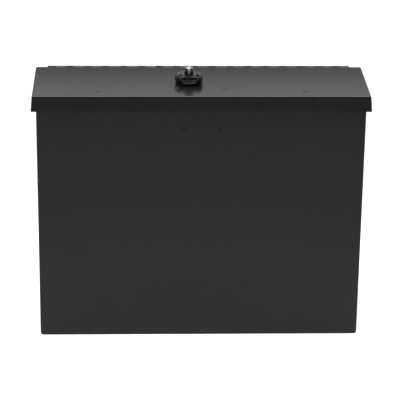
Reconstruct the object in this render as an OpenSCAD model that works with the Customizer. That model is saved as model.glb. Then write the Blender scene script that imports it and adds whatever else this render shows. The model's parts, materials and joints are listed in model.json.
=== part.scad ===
// Lockable steel battery box: a slim folded-sheet case with a piano-hinged lid and a key lock.
// Millimetres, +Z up. The origin is under the middle of the whole object, on the surface it stands on.
// +X runs along the long side, and the front (the side the lid opens from) faces -Y.

/* [Lid] */
// Width of the lid's flat top
lid_w = 460; // [380:1:600]
// Depth of the lid's flat top, front to back
lid_d = 128.7; // [118:0.1:200]
// Height of the lid's top above the floor
lid_top = 359; // [250:1:450]
// Height of the turned-down edges
skirt_h = 22; // [16:1:30]
// How far each turned-down edge leans out at its lower end
skirt_flare = 1.55; // [0:0.05:2.5]
// Outside radius of the lid's bends
lid_bend_r = 2.4; // [1.8:0.1:4]

/* [Case] */
// Thickness of the steel sheet
sheet = 1.5; // [1:0.1:2]
// How far the lid stands out past the case on each side
overhang = 5.3; // [4.5:0.1:8]
// Height from the lid's top down to the case's rim
rim_drop = 5.5; // [4.5:0.1:8]
// Width of the rim flange that is folded inwards
rim_w = 12; // [9:0.5:13]
// Outside radius of the bends between floor and ends
floor_bend_r = 4; // [2.5:0.5:8]
// Spacing of the mounting holes along the floor
mount_x = 380; // [200:10:400]
// Spacing of the mounting holes across the floor
mount_y = 70; // [40:5:90]
// Diameter of the mounting holes
mount_d = 9; // [6:0.5:12]

/* [Hinge] */
// Number of knuckles on the piano hinge
knuckle_count = 34; // [10:2:40]
// Length of one knuckle
knuckle_l = 12.55; // [8:0.05:25]
// Outside diameter of the rolled knuckles
barrel_d = 6.4; // [5:0.1:8]
// Diameter of the hinge pin
pin_d = 3; // [2:0.1:4]
// Height of the barrel's top above the lid
barrel_rise = 0.05; // [0:0.05:1]
// Gap between the lid's back edge and the barrel
hinge_gap = 1.8; // [1:0.1:3]

/* [Lock] */
// Lock's place from the middle of the lid, negative to the left
lock_x = -16.3; // [-60:0.1:60]
// Lock's place behind the lid's front edge
lock_back = 57.5; // [50:0.5:70]
// Height of the domed lock housing above the lid
housing_h = 14.2; // [12:0.1:18]
// Largest diameter of the lock housing
housing_d = 39; // [34:0.5:44]
// Diameter of the turning key plug
plug_d = 9.6; // [8:0.1:11]
// Length of the cam, from the plug's axis to its tip
cam_l = 42; // [36:1:45]
// Depth of the striker tab's underside below the lid's top
striker_drop = 30; // [26:1:36]

/* [Inside] */
// Thickness of the rubber floor mat
mat_t = 3; // [2:0.5:6]
// Thickness of the foam pads on the long walls
pad_t = 5; // [2:0.5:8]
// Height of the cable grommets' middles below the lid's top
grommet_drop = 60; // [45:1:80]
// Distance of each cable grommet from the middle
grommet_x = 70; // [40:1:160]

/* [Hidden] */
$fn = 64;

coat = "#2b2a2b";
zinc = "#b9bcbd";
rubber = "#171717";
chrome = "#d8dadb";

// Overall places, worked out from the driving sizes
total_d = skirt_flare + lid_d + hinge_gap + barrel_d;
front_y = skirt_flare - total_d / 2;
back_y = front_y + lid_d + hinge_gap;
case_front = front_y + overhang;
case_half = lid_w / 2 - overhang;
rim_z = lid_top - rim_drop;
rim_bend_r = 2.5;
rim_end_gap = 0.5;

// Hinge: its axis lies just behind the lid's back edge
leaf_t = 1.2;
leaf_w = 22;
axis_y = back_y + barrel_d / 2;
axis_z = lid_top + barrel_rise - barrel_d / 2;
hinge_l = knuckle_count * knuckle_l;
knuckle_gap = 0.35;
pin_clear = 0.08;
leaf_clear = 0.4;

// Lock: heights are measured from the lid's top
lock_y = front_y + lock_back;
seal_t = 0.8;
neck_r = 9;
neck_low = striker_drop + 0.1;
nut_t = 4;
nut_flats = 24;
barrel_r = 6.25;
barrel_top = 17.7;
plug_clear = 0.06;
plug_top = 22.2;
collar_r = 5.25;
collar_low = 18.1;
scoop_r = 12;
scoop_back = 9.5;
scoop_floor = 7.1;
scoop_slope = 12;
lip_h = 10.7;
lip_step = 4.5;
channel_half = 10.8;
channel_floor = 12.4;
cam_t = 2.5;
cam_gap = 0.5;
cam_w = 17;
cam_top = striker_drop + cam_gap;
tail_side = 6;
screw_r = 2;
washer_t = 0.8;

// Striker bracket, fixed inside the front panel
striker_x = 1;
bracket_t = 2;
bracket_w = 70;
bracket_low = 62;
tab_reach = 22;
striker_rivet_x = 24.3;
striker_rivet_drop = 51.7;

// Reinforcements under the lid
doubler_t = 2;
doubler_x = [-52, 46];
doubler_back = [32.5, 85];
doubler_rivet_x = 31.7;
doubler_rivet_back = 36.6;
stiffener_half = 158;
stiffener_back = [19.5, 31.5];
stiffener_drop = 12;
stiffener_rivet_x = 141;
stiffener_rivet_back = 23.5;

gasket_w = 9;
gasket_inset = 2;
gasket_gap = 0.2;
rivet_r = 2.35;
rivet_hole_r = 2.45;
grommet_hole_r = 11;
grommet_flange_r = 15;
grommet_flange_t = 2.5;
grommet_bore_r = 6;
drain_r = 4;
drain_x = 120;

// Points along an arc about (cx, cy), from angle a0 to a1
function arc(cx, cy, r, a0, a1, n = 6) =
    [for (i = [0 : n]) let (a = a0 + (a1 - a0) * i / n) [cx + r * cos(a), cy + r * sin(a)]];

// Extrudes an outline drawn in X and Z along Y, from y0 to y1
module along_y(y0, y1) {
    translate([0, y1, 0]) rotate([90, 0, 0]) linear_extrude(height = y1 - y0) children();
}

// Extrudes an outline drawn in Y and Z along X, from x0 to x1
module along_x(x0, x1) {
    translate([x0, 0, 0]) rotate([90, 0, 90]) linear_extrude(height = x1 - x0) children();
}

module block(x, y, z) {
    translate([x[0], y[0], z[0]]) cube([x[1] - x[0], y[1] - y[0], z[1] - z[0]]);
}

// A ring about Z, from z0 to z1
module ring(outer_r, inner_r, z0, z1) {
    difference() {
        translate([0, 0, z0]) cylinder(r = outer_r, h = z1 - z0);
        translate([0, 0, z0 - 1]) cylinder(r = inner_r, h = z1 - z0 + 2);
    }
}

// A rivet along -Z: a low domed head on z = 0, and a clenched tail under a grip of the given thickness
module rivet(head_r, head_h, grip) {
    tail_r = 3.2;
    tail_h = 1.2;
    rotate_extrude()
        polygon(concat([[0, -grip - tail_h], [tail_r, -grip - tail_h], [tail_r, -grip], [rivet_r, -grip],
                        [rivet_r, 0], [head_r, 0]],
                       [for (a = [15 : 15 : 90]) [head_r * cos(a), head_h * sin(a)]]));
}

// Folded rim along one long wall: the bend and the flange, as an outline in Y and Z
module rim_profile() {
    bend_z = rim_z - rim_bend_r;
    polygon(concat([[0, bend_z - 1]], arc(rim_bend_r, bend_z, rim_bend_r, 180, 90),
                   [[rim_w, rim_z], [rim_w, rim_z - sheet]],
                   arc(rim_bend_r, bend_z, rim_bend_r - sheet, 90, 180), [[sheet, bend_z - 1]]));
}

// A long wall with its outer face on y = 0: a flat panel with a rim folded inwards
module long_wall() {
    low_x = case_half - floor_bend_r;
    along_y(0, sheet)
        polygon(concat(arc(-low_x, floor_bend_r, floor_bend_r, 180, 270),
                       arc(low_x, floor_bend_r, floor_bend_r, 270, 360),
                       [[case_half, rim_z - rim_bend_r], [-case_half, rim_z - rim_bend_r]]));
    along_x(rim_bend_r - case_half, case_half - rim_bend_r) rim_profile();
}

module front_panel() {
    color(coat) difference() {
        translate([0, case_front, 0]) long_wall();
        for (s = [-1, 1])
            translate([striker_x + s * striker_rivet_x, case_front - 1, lid_top - striker_rivet_drop])
                rotate([-90, 0, 0]) cylinder(r = rivet_hole_r, h = sheet + 2);
    }
}

module back_panel() {
    color(coat) difference() {
        translate([0, back_y, 0]) mirror([0, 1, 0]) long_wall();
        for (s = [-1, 1])
            translate([s * grommet_x, back_y - sheet - 1, lid_top - grommet_drop])
                rotate([-90, 0, 0]) cylinder(r = grommet_hole_r, h = sheet + 2);
    }
}

// Both ends and the floor are one strip, folded up into a U with its rims turned in
module end_and_floor_wrap() {
    rim_x = case_half - rim_bend_r;
    low_x = case_half - floor_bend_r;
    bend_z = rim_z - rim_bend_r;
    cut_w = rim_w + rim_end_gap - sheet;
    color(coat) difference() {
        along_y(case_front + sheet, back_y - sheet)
            polygon(concat([[rim_w - case_half, rim_z]],
                           arc(-rim_x, bend_z, rim_bend_r, 90, 180),
                           arc(-low_x, floor_bend_r, floor_bend_r, 180, 270),
                           arc(low_x, floor_bend_r, floor_bend_r, 270, 360),
                           arc(rim_x, bend_z, rim_bend_r, 0, 90),
                           [[case_half - rim_w, rim_z], [case_half - rim_w, rim_z - sheet]],
                           arc(rim_x, bend_z, rim_bend_r - sheet, 90, 0),
                           arc(low_x, floor_bend_r, floor_bend_r - sheet, 360, 270),
                           arc(-low_x, floor_bend_r, floor_bend_r - sheet, 270, 180),
                           arc(-rim_x, bend_z, rim_bend_r - sheet, 180, 90),
                           [[rim_w - case_half, rim_z - sheet]]));
        for (y = [case_front + sheet, back_y - sheet - cut_w])
            block([-case_half - 1, case_half + 1], [y - 0.01, y + cut_w + 0.01], [bend_z, rim_z + 1]);
        for (x = [-1, 1], y = [-1, 1])
            translate([x * mount_x / 2, (case_front + back_y) / 2 + y * mount_y / 2, -1])
                cylinder(d = mount_d, h = sheet + 2);
        for (x = [-1, 1])
            translate([x * drain_x, (case_front + back_y) / 2, -1]) cylinder(r = drain_r, h = sheet + 2);
    }
}

// Z-section bracket whose tab the cam turns under; the tab ends in a lip bent up at 45 degrees
module striker_bracket() {
    wall_y = case_front + sheet;
    low_z = lid_top - bracket_low;
    tab_z = lid_top - striker_drop;
    lip = 3;
    tab_y = wall_y + tab_reach - 2;
    skew = bracket_t * cos(45);
    color(coat) translate([striker_x, 0, 0]) difference() {
        along_x(-bracket_w / 2, bracket_w / 2)
            polygon([[wall_y, low_z], [wall_y + bracket_t, low_z], [wall_y + bracket_t, tab_z],
                     [tab_y, tab_z], [tab_y + lip, tab_z + lip], [tab_y + lip - skew, tab_z + lip + skew],
                     [tab_y - bracket_t * tan(22.5), tab_z + bracket_t], [wall_y, tab_z + bracket_t]]);
        for (s = [-1, 1])
            translate([s * striker_rivet_x, wall_y - 1, lid_top - striker_rivet_drop])
                rotate([-90, 0, 0]) cylinder(r = rivet_hole_r, h = bracket_t + 2);
    }
}

module striker_rivets() {
    color(coat) for (s = [-1, 1])
        translate([striker_x + s * striker_rivet_x, case_front, lid_top - striker_rivet_drop])
            rotate([90, 0, 0]) rivet(3.4, 0.7, sheet + bracket_t);
}

// Every second knuckle, starting with the given one, each with a tab to its leaf
module knuckles(first) {
    for (i = [first : 2 : knuckle_count - 1])
        translate([i * knuckle_l - hinge_l / 2 + knuckle_gap / 2, 0, 0]) {
            translate([0, axis_y, axis_z]) rotate([0, 90, 0])
                cylinder(d = barrel_d, h = knuckle_l - knuckle_gap);
            children();
        }
}

// Where a knuckle of the lid's leaf rises from the leaf onto its barrel, as an outline in Y and Z
module swage_profile(from_y, leaf_top) {
    touch_a = 120;
    touch_y = axis_y + barrel_d / 2 * cos(touch_a);
    touch_z = axis_z + barrel_d / 2 * sin(touch_a);
    run = (touch_z - leaf_top) / tan(touch_a - 90);
    polygon([[from_y, leaf_top - leaf_t], [from_y, leaf_top], [touch_y - run, leaf_top],
             [touch_y, touch_z], [axis_y, axis_z], [axis_y - barrel_d / 4, leaf_top - leaf_t]]);
}

module hinge_bore() {
    translate([-hinge_l / 2 - 1, axis_y, axis_z]) rotate([0, 90, 0])
        cylinder(r = pin_d / 2 + pin_clear, h = hinge_l + 2);
}

module hinge_body_leaf() {
    plate_top = axis_z - barrel_d / 2 - leaf_clear;
    color(coat) difference() {
        union() {
            block([-hinge_l / 2, hinge_l / 2], [back_y, back_y + leaf_t],
                  [axis_z - barrel_d / 2 - leaf_w, plate_top]);
            knuckles(1)
                block([0, knuckle_l - knuckle_gap], [back_y, back_y + leaf_t], [plate_top - 1, axis_z]);
        }
        hinge_bore();
    }
}

module hinge_lid_leaf() {
    leaf_top = lid_top - sheet;
    leaf_back = back_y - hinge_gap - 0.2;
    color(coat) difference() {
        union() {
            block([-hinge_l / 2, hinge_l / 2], [leaf_back - leaf_w, leaf_back], [leaf_top - leaf_t, leaf_top]);
            knuckles(0) along_x(0, knuckle_l - knuckle_gap) swage_profile(leaf_back - 1, leaf_top);
        }
        hinge_bore();
    }
}

module hinge_pin() {
    color(zinc) translate([-hinge_l / 2 - 0.4, axis_y, axis_z]) rotate([0, 90, 0])
        cylinder(d = pin_d, h = hinge_l + 0.8);
}

module cable_grommets() {
    half_t = sheet / 2 + grommet_flange_t;
    color(rubber) for (s = [-1, 1])
        translate([s * grommet_x, back_y - sheet / 2, lid_top - grommet_drop]) rotate([90, 0, 0])
            rotate_extrude()
                polygon([[grommet_bore_r, -half_t], [grommet_flange_r - 1, -half_t],
                         [grommet_flange_r, -half_t + 1], [grommet_flange_r, -sheet / 2],
                         [grommet_hole_r, -sheet / 2], [grommet_hole_r, sheet / 2],
                         [grommet_flange_r, sheet / 2], [grommet_flange_r, half_t - 1],
                         [grommet_flange_r - 1, half_t], [grommet_bore_r, half_t]]);
}

module floor_mat() {
    mat_gap = 4;
    access_r = 12;
    mid_y = (case_front + back_y) / 2;
    color(rubber) difference() {
        block([mat_gap - case_half + sheet, case_half - sheet - mat_gap],
              [case_front + sheet + mat_gap, back_y - sheet - mat_gap], [sheet, sheet + mat_t]);
        for (x = [-1, 1], y = [-1, 1])
            translate([x * mount_x / 2, mid_y + y * mount_y / 2, 0]) cylinder(r = access_r, h = 20);
        for (x = [-1, 1])
            translate([x * drain_x, mid_y, 0]) cylinder(r = drain_r, h = 20);
    }
}

module battery_pads() {
    pad_half = 150;
    pad_z = [60, 230];
    color(rubber) for (y = [case_front + sheet, back_y - sheet - pad_t])
        block([-pad_half, pad_half], [y, y + pad_t], pad_z);
}

// The lid's outer or inner surface as a solid: a bend along three top edges and skirts that lean out
module lid_form(inset, r) {
    slice_t = 0.01;
    module slice(drop, step) {
        translate([-lid_w / 2 + inset + step, front_y + inset + step, lid_top - drop - slice_t])
            cube([lid_w - 2 * (inset + step), lid_d + 20, slice_t]);
    }
    hull() {
        for (a = [0 : 15 : 90]) slice(inset + r * (1 - sin(a)), r * (1 - cos(a)));
        slice(skirt_h + (inset > 0 ? 1 : 0) - slice_t, -skirt_flare);
    }
}

module lid_sheet() {
    color(coat) difference() {
        intersection() {
            difference() {
                lid_form(0, lid_bend_r);
                lid_form(sheet, lid_bend_r - sheet);
            }
            block([-lid_w, lid_w], [front_y - 20, front_y + lid_d], [lid_top - skirt_h, lid_top + 1]);
        }
        translate([lock_x, lock_y, lid_top - sheet - 1]) cylinder(r = neck_r + 0.25, h = sheet + 2);
        for (s = [-1, 1]) {
            translate([s * doubler_rivet_x, front_y + doubler_rivet_back, lid_top - sheet - 1])
                cylinder(r = rivet_hole_r, h = sheet + 2);
            translate([s * stiffener_rivet_x, front_y + stiffener_rivet_back, lid_top - sheet - 1])
                cylinder(r = rivet_hole_r, h = sheet + 2);
        }
    }
}

// Foam strip in one loop under the lid, thinner where it runs below the hinge leaf
module lid_gasket() {
    outer_x = case_half - gasket_inset;
    outer_y = [case_front + gasket_inset, back_y - gasket_inset];
    low_z = rim_z + gasket_gap;
    under_lid = lid_top - sheet;
    color(rubber) difference() {
        block([-outer_x, outer_x], outer_y, [low_z, under_lid]);
        block([gasket_w - outer_x, outer_x - gasket_w], [outer_y[0] + gasket_w, outer_y[1] - gasket_w],
              [low_z - 1, under_lid + 1]);
        block([-hinge_l / 2 - 0.1, hinge_l / 2 + 0.1], [back_y - leaf_w - 2, back_y],
              [under_lid - leaf_t, under_lid + 1]);
    }
}

// Angle along the front of the lid that keeps it from drumming
module lid_stiffener() {
    angle_t = 1.5;
    under_lid = lid_top - sheet;
    color(coat) difference() {
        translate([0, front_y, 0]) along_x(-stiffener_half, stiffener_half)
            polygon([[stiffener_back[0], under_lid], [stiffener_back[1], under_lid],
                     [stiffener_back[1], under_lid - stiffener_drop],
                     [stiffener_back[1] - angle_t, under_lid - stiffener_drop],
                     [stiffener_back[1] - angle_t, under_lid - angle_t],
                     [stiffener_back[0], under_lid - angle_t]]);
        for (s = [-1, 1])
            translate([s * stiffener_rivet_x, front_y + stiffener_rivet_back, under_lid - angle_t - 1])
                cylinder(r = rivet_hole_r, h = angle_t + 2);
    }
}

module stiffener_rivets() {
    color(coat) for (s = [-1, 1])
        translate([s * stiffener_rivet_x, front_y + stiffener_rivet_back, lid_top])
            rivet(3, 0.5, sheet + 1.5);
}

// Plate that spreads the lock's load under the lid
module lock_doubler() {
    under_lid = lid_top - sheet;
    color(coat) difference() {
        block(doubler_x, [front_y + doubler_back[0], front_y + doubler_back[1]],
              [under_lid - doubler_t, under_lid]);
        translate([lock_x, lock_y, under_lid - doubler_t - 1]) cylinder(r = neck_r + 0.25, h = doubler_t + 2);
        for (s = [-1, 1])
            translate([s * doubler_rivet_x, front_y + doubler_rivet_back, under_lid - doubler_t - 1])
                cylinder(r = rivet_hole_r, h = doubler_t + 2);
    }
}

module doubler_rivets() {
    color(coat) for (s = [-1, 1])
        translate([s * doubler_rivet_x, front_y + doubler_rivet_back, lid_top])
            rivet(3, 0.5, sheet + doubler_t);
}

// Moves a lock piece to the lock's axis, with z = 0 on the lid's top
module at_lock() {
    translate([lock_x, lock_y, lid_top]) children();
}

// Round housing with a channel across its top, a thumb scoop, a barrel for the plug, and a neck through the lid
module lock_housing() {
    wide_r = housing_d / 2;
    skirt_r = wide_r - 0.75;
    skirt_top = 4.8;
    dome_low = 6.3;
    dome_r = 5.5;
    cut_h = 12;
    color(coat) at_lock() difference() {
        union() {
            difference() {
                rotate_extrude()
                    polygon(concat([[0, seal_t], [skirt_r, seal_t], [skirt_r, skirt_top],
                                    [wide_r, skirt_top + 0.5], [wide_r, dome_low]],
                                   [for (a = [15 : 15 : 90])
                                       [wide_r - dome_r * (1 - cos(a)),
                                        dome_low + (housing_h - dome_low) * sin(a)]],
                                   [[0, housing_h]]));
                block([-channel_half, channel_half], [-wide_r - 1, wide_r + 1], [channel_floor, housing_h + 1]);
            }
            translate([0, 0, seal_t]) cylinder(r = barrel_r, h = barrel_top - seal_t);
            translate([0, 0, -neck_low]) cylinder(r = neck_r, h = neck_low + seal_t + 1);
        }
        translate([0, -scoop_back, scoop_floor]) rotate([scoop_slope, 0, 0]) difference() {
            cylinder(r = scoop_r, h = cut_h);
            translate([-scoop_r - 1, 0, -1]) cube([2 * scoop_r + 2, scoop_r + 1, cut_h + 2]);
        }
        block([-scoop_r - 1, scoop_r + 1], [-wide_r - 1, -lip_step], [lip_h, housing_h + 1]);
        translate([0, 0, -neck_low - 1]) cylinder(r = plug_d / 2 + plug_clear, h = barrel_top + neck_low + 2);
    }
}

module lock_seal() {
    color(rubber) at_lock() ring(housing_d / 2 - 1.2, neck_r + 0.1, 0, seal_t);
}

module lock_nut() {
    nut_top = -sheet - doubler_t;
    color(zinc) at_lock() difference() {
        translate([0, 0, nut_top - nut_t]) cylinder(r = nut_flats / 2 / cos(30), h = nut_t, $fn = 6);
        translate([0, 0, nut_top - nut_t - 1]) cylinder(r = neck_r + 0.05, h = nut_t + 2);
    }
}

// Turning plug: bright collar with a keyway, a round body, and a square tail for the cam
module key_plug() {
    keyway_w = 1.4;
    keyway_l = 7;
    keyway_deep = 8;
    color(chrome) at_lock() difference() {
        union() {
            rotate_extrude()
                polygon([[0, -neck_low - 0.1], [plug_d / 2, -neck_low - 0.1], [plug_d / 2, collar_low],
                         [collar_r, collar_low], [collar_r, plug_top - 0.6], [collar_r - 0.6, plug_top],
                         [0, plug_top]]);
            block([-tail_side / 2, tail_side / 2], [-tail_side / 2, tail_side / 2],
                  [-cam_top - cam_t + 0.05, -neck_low]);
        }
        block([-keyway_l / 2, keyway_l / 2], [-keyway_w / 2, keyway_w / 2],
              [plug_top - keyway_deep, plug_top + 1]);
        translate([0, 0, -cam_top - cam_t - 1]) cylinder(r = screw_r + 0.05, h = 12);
    }
}

// Flat cam, drawn unlocked: it points along +X and clears the striker
module lock_cam() {
    tip_r = 5;
    color(zinc) at_lock() translate([0, 0, -cam_top - cam_t]) difference() {
        union() {
            cylinder(r = cam_w / 2, h = cam_t);
            translate([0, -cam_w / 2, 0]) cube([cam_l - tip_r, cam_w, cam_t]);
            translate([cam_l - tip_r - 0.5, tip_r - cam_w / 2, 0]) cube([tip_r + 0.5, cam_w - 2 * tip_r, cam_t]);
            for (s = [-1, 1])
                translate([cam_l - tip_r, s * (cam_w / 2 - tip_r), 0]) cylinder(r = tip_r, h = cam_t);
        }
        block([-tail_side / 2 - 0.05, tail_side / 2 + 0.05], [-tail_side / 2 - 0.05, tail_side / 2 + 0.05],
              [-1, cam_t + 1]);
    }
}

module cam_washer() {
    color(zinc) at_lock() ring(6, screw_r + 0.1, -cam_top - cam_t - washer_t, -cam_top - cam_t);
}

module cam_screw() {
    head_r = 3.6;
    head_h = 2.4;
    slot_half = 2.2;
    slot_deep = 1.2;
    seat = -cam_top - cam_t - washer_t;
    color(zinc) at_lock() difference() {
        union() {
            translate([0, 0, seat - head_h]) cylinder(r = head_r, h = head_h);
            translate([0, 0, seat - 0.01]) cylinder(r = screw_r, h = 10);
        }
        for (a = [0, 90])
            rotate([0, 0, a])
                block([-slot_half, slot_half], [-0.5, 0.5], [seat - head_h - 1, seat - head_h + slot_deep]);
    }
}

front_panel();
end_and_floor_wrap();
back_panel();
striker_bracket();
striker_rivets();
hinge_body_leaf();
hinge_pin();
cable_grommets();
floor_mat();
battery_pads();
lid_sheet();
hinge_lid_leaf();
lid_gasket();
lid_stiffener();
stiffener_rivets();
lock_doubler();
doubler_rivets();
lock_housing();
lock_seal();
lock_nut();
key_plug();
lock_cam();
cam_washer();
cam_screw();
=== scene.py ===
import json
import math

import bmesh
import bpy
from mathutils import Matrix, Vector, noise


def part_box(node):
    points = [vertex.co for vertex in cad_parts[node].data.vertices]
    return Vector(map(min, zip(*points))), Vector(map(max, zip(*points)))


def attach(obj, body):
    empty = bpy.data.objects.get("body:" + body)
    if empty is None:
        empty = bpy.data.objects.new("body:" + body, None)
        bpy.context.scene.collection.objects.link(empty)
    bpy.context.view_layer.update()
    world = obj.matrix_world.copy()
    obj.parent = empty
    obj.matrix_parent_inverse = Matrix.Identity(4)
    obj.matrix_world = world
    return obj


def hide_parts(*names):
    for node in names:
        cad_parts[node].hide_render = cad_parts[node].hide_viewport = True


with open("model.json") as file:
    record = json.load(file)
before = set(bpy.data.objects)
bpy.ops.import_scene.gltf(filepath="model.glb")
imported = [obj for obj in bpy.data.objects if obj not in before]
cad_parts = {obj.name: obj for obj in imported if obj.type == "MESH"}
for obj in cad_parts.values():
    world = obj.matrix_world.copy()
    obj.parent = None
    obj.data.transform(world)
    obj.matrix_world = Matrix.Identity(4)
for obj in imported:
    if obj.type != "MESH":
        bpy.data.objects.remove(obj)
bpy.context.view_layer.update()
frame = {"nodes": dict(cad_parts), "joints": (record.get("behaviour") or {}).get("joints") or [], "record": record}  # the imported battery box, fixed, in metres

mm = 0.001
joints = {j["name"]: Vector(j["pos_m"]) / mm for j in frame["joints"]}


def boxOf(node):  # a node's low and high corners, in millimetres
    low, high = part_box(node)
    return low / mm, high / mm


class Value:  # one output of a node, so that shader maths reads as sums
    def __init__(self, tree, socket):
        self.tree = tree
        self.socket = socket

    def maths(self, operation, left, right):
        return self.tree.add("ShaderNodeMath", dict(operation=operation), {0: left, 1: right})

    def __add__(self, other):
        return self.maths("ADD", self, other)

    def __radd__(self, other):
        return self.maths("ADD", other, self)

    def __sub__(self, other):
        return self.maths("SUBTRACT", self, other)

    def __rsub__(self, other):
        return self.maths("SUBTRACT", other, self)

    def __mul__(self, other):
        return self.maths("MULTIPLY", self, other)

    def __rmul__(self, other):
        return self.maths("MULTIPLY", other, self)


class NodeTree:
    def __init__(self, tree):
        self.tree = tree

    def add(self, kind, settings=None, sockets=None, output=0):
        node = self.tree.nodes.new(kind)
        for name, value in (settings or {}).items():
            if name == "stops":
                self.setStops(node.color_ramp, value)
            else:
                setattr(node, name, value)
        for name, value in (sockets or {}).items():
            self.plug(node.inputs[name], value)
        return Value(self, node.outputs[output])

    def plug(self, socket, value):
        if isinstance(value, Value):
            self.tree.links.new(value.socket, socket)
        else:
            socket.default_value = value

    def setStops(self, ramp, stops):
        while len(ramp.elements) < len(stops):
            ramp.elements.new(0.5)
        for element, (place, grey) in zip(ramp.elements, stops):
            element.position = place
            element.color = (grey, grey, grey, 1)

    def cloud(self, place, scale, detail=2.0, roughness=0.5):
        return self.add("ShaderNodeTexNoise", None,
                        {"Vector": place, "Scale": scale, "Detail": detail, "Roughness": roughness})

    def step(self, value, low, high):  # 0 below low, 1 above high, smooth between
        return self.add("ShaderNodeMapRange", dict(interpolation_type="SMOOTHSTEP"),
                        {"Value": value, "From Min": low, "From Max": high})

    def blend(self, factor, first, second):  # a colour mix
        return self.add("ShaderNodeMix", dict(data_type="RGBA"), {0: factor, 6: first, 7: second}, 2)

    def stretch(self, place, x, y, z):
        return self.add("ShaderNodeVectorMath", dict(operation="MULTIPLY"), {0: place, 1: (x, y, z)})


class Finish(NodeTree):
    def __init__(self, name, fixed):
        self.material = bpy.data.materials.new(name)
        self.material.use_nodes = True
        super().__init__(self.material.node_tree)
        self.shader = self.tree.nodes["Principled BSDF"]
        for socket, value in fixed.items():
            self.shader.inputs[socket].default_value = value
        self.place = self.add("ShaderNodeTexCoord", None, None, "Object")
        self.edges = self.add("ShaderNodeNewGeometry", None, None, "Pointiness")

    def use(self, baseColor, roughness):
        self.plug(self.shader.inputs["Base Color"], baseColor)
        self.plug(self.shader.inputs["Roughness"], roughness)

    def bump(self, height, strength, depthMm):
        sockets = {"Height": height, "Strength": strength, "Distance": depthMm * mm}
        made = self.add("ShaderNodeBump", None, sockets)
        self.plug(self.shader.inputs["Normal"], made)


coatLook = dict(dark=(0.0042, 0.004, 0.0041, 1), light=(0.0062, 0.0059, 0.006, 1),
                rubbed=(0.022, 0.021, 0.021, 1), gloss=0.22, peelMm=1.5, peelDepth=0.022, level=0.235)
lockCoatLook = dict(coatLook, dark=(0.003, 0.003, 0.003, 1), light=(0.005, 0.005, 0.005, 1),
                    peelMm=0.8, peelDepth=0.012, level=0.28)


def makeCoat(name, look):  # satin powder coat: orange peel, soft patches, edges rubbed smoother
    coat = Finish(name, {"Specular IOR Level": look["level"]})
    patches = coat.cloud(coat.place, 14, 3)
    peel = coat.cloud(coat.place, 1 / (look["peelMm"] * mm), 1.5)
    grit = coat.cloud(coat.place, 4200, 1)
    rubbed = coat.step(coat.edges, 0.53, 0.62) * coat.step(coat.cloud(coat.place, 160, 3), 0.35, 0.65)
    base = coat.blend(patches, look["dark"], look["light"])
    specks = coat.step(coat.cloud(coat.place, 1500, 1), 0.78, 0.82)
    coat.use(baseColor=coat.blend(rubbed * 0.5 + specks * 0.15, base, look["rubbed"]),
             roughness=look["gloss"] + 0.06 * patches + 0.04 * grit - 0.05 * rubbed)
    coat.bump(peel + 0.25 * grit, 0.6, look["peelDepth"])
    return coat.material


def makeChrome():  # polished plate with hairlines and a few dull spots
    chrome = Finish("polishedChrome", {"Metallic": 1.0})
    hairs = chrome.cloud(chrome.stretch(chrome.place, 1, 22, 1), 700, 2)
    spots = chrome.step(chrome.cloud(chrome.place, 900, 2), 0.6, 0.72)
    chrome.use(baseColor=chrome.blend(spots, (0.36, 0.365, 0.37, 1), (0.24, 0.24, 0.24, 1)),
               roughness=0.16 + 0.06 * hairs + 0.12 * spots)
    chrome.bump(hairs, 0.25, 0.01)
    return chrome.material


def makeZinc():  # bright zinc with rolling lines and pale blotches
    zinc = Finish("brightZinc", {"Metallic": 1.0})
    blotches = zinc.cloud(zinc.place, 180, 3, 0.6)
    lines = zinc.cloud(zinc.stretch(zinc.place, 1, 30, 30), 300, 2)
    zinc.use(baseColor=zinc.blend(blotches, (0.46, 0.47, 0.48, 1), (0.66, 0.67, 0.67, 1)),
             roughness=0.26 + 0.16 * blotches + 0.08 * lines)
    zinc.bump(lines + 0.4 * blotches, 0.3, 0.02)
    return zinc.material


def makeFoam():  # closed-cell foam: open pores on the skin
    foam = Finish("closedCellFoam", {"Specular IOR Level": 0.25})
    cells = foam.add("ShaderNodeTexVoronoi", None, {"Vector": foam.place, "Scale": 1100})
    patches = foam.cloud(foam.place, 60, 3)
    foam.use(baseColor=foam.blend(patches, (0.03, 0.03, 0.031, 1), (0.055, 0.055, 0.057, 1)),
             roughness=0.8 + 0.12 * patches)
    foam.bump(cells + 0.5 * patches, 0.8, 0.15)
    return foam.material


def makeRubber():  # moulded rubber: fine matt texture and a little bloom
    rubber = Finish("mouldedRubber", {"Specular IOR Level": 0.3})
    bloom = rubber.cloud(rubber.place, 45, 4, 0.6)
    grain = rubber.cloud(rubber.place, 1800, 2)
    rubber.use(baseColor=rubber.blend(bloom, (0.022, 0.022, 0.0225, 1), (0.042, 0.042, 0.042, 1)),
               roughness=0.5 + 0.2 * bloom + 0.1 * grain)
    rubber.bump(grain, 0.5, 0.05)
    return rubber.material


finishes = dict(
    coat=makeCoat("satinBlackCoat", coatLook),
    lock=makeCoat("lockBlackCoat", lockCoatLook),
    chrome=makeChrome(), zinc=makeZinc(), foam=makeFoam(), rubber=makeRubber())
print("finishes made")


# a piece is built in millimetres, and finishPiece turns its mesh into metres

def closeSkins(points, faces):  # points are (outer, inner) pairs; walls close every open edge
    bm = bmesh.new()
    outer = [bm.verts.new(o) for o, i in points]
    inner = [bm.verts.new(i) for o, i in points]
    runs = {}
    for face in faces:
        bm.faces.new([outer[k] for k in face])
        bm.faces.new([inner[k] for k in reversed(face)])
        for a, b in zip(face, face[1:] + face[:1]):
            runs.setdefault(frozenset((a, b)), []).append((a, b))
    for run in runs.values():
        if len(run) == 1:
            a, b = run[0]
            bm.faces.new([outer[b], outer[a], inner[a], inner[b]])
    bmesh.ops.remove_doubles(bm, verts=bm.verts, dist=0.002)
    bmesh.ops.dissolve_degenerate(bm, dist=0.001, edges=bm.edges)
    bmesh.ops.recalc_face_normals(bm, faces=bm.faces)
    return bm


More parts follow.
